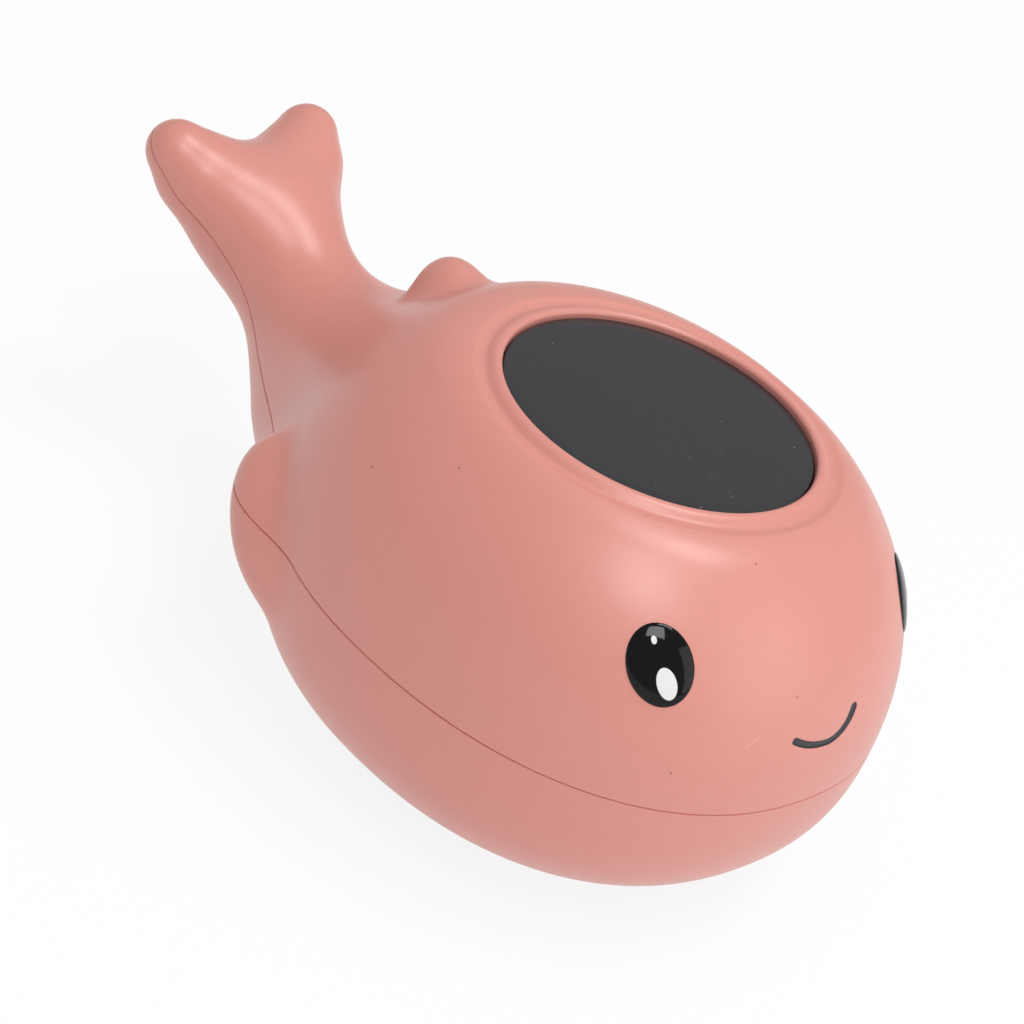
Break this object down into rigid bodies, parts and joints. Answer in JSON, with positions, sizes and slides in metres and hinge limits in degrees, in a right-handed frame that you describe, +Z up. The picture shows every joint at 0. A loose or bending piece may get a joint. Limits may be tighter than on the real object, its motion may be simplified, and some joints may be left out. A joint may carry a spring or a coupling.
{
  "type": "bath thermometer",
  "caption": "Floating whale-shaped digital bath thermometer with a round smoked display on its back, a split shell, badge eyes and a raised tail.",
  "frame": {"origin": "centre of the bounding box's bottom face, level with the flat foot", "axes": "+Z up, +Y from the nose to the tail, +X to the whale's left side"},
  "size_m": [0.066, 0.108, 0.0485],
  "materials": {
    "shell_plastic": "satin moulded",
    "smoked_lens": "glossy smoked",
    "foam_tape": "matte foam",
    "black_plastic": "matte moulded",
    "segment_film": "satin film",
    "circuit_board": "satin varnish",
    "crystal_can": "plain",
    "capacitor_sleeve": "satin sleeve",
    "stainless_steel": "polished",
    "cell_jacket": "printed jacket",
    "plated_contact": "nickel plated",
    "grey_silicone": "matte silicone",
    "sensor_epoxy": "cast epoxy",
    "red_insulation": "matte",
    "black_insulation": "matte",
    "white_insulation": "matte",
    "yellow_insulation": "matte",
    "gloss_black": "high gloss"
  },
  "bodies": {
    "root": {"upper_shell": "shell_plastic", "lower_shell": "shell_plastic", "battery_cover": "shell_plastic", "display_lens": "smoked_lens", "lens_tape": "foam_tape", "display_module": "black_plastic", "segment_film": "segment_film", "main_board": "circuit_board", "control_chip": "black_plastic", "timing_crystal": "crystal_can", "capacitor_1": "capacitor_sleeve", "capacitor_2": "capacitor_sleeve", "board_screw_1": "stainless_steel", "board_screw_2": "stainless_steel", "board_screw_3": "stainless_steel", "battery_right": "cell_jacket", "battery_left": "cell_jacket", "front_spring": "plated_contact", "rear_spring": "plated_contact", "link_contact": "plated_contact", "plus_contact": "plated_contact", "minus_contact": "plated_contact", "cover_gasket": "grey_silicone", "cover_screw_left": "stainless_steel", "cover_screw_right": "stainless_steel", "probe_cap": "stainless_steel", "probe_seal": "grey_silicone", "sensor_bead": "sensor_epoxy", "water_pin_left": "stainless_steel", "water_pin_right": "stainless_steel", "pin_seal_left": "grey_silicone", "pin_seal_right": "grey_silicone", "battery_lead_red": "red_insulation", "battery_lead_black": "black_insulation", "sensor_lead_left": "white_insulation", "sensor_lead_right": "white_insulation", "pin_lead_left": "yellow_insulation", "pin_lead_right": "yellow_insulation", "eye_left": "gloss_black", "eye_right": "gloss_black"}
  },
  "joints": []
}
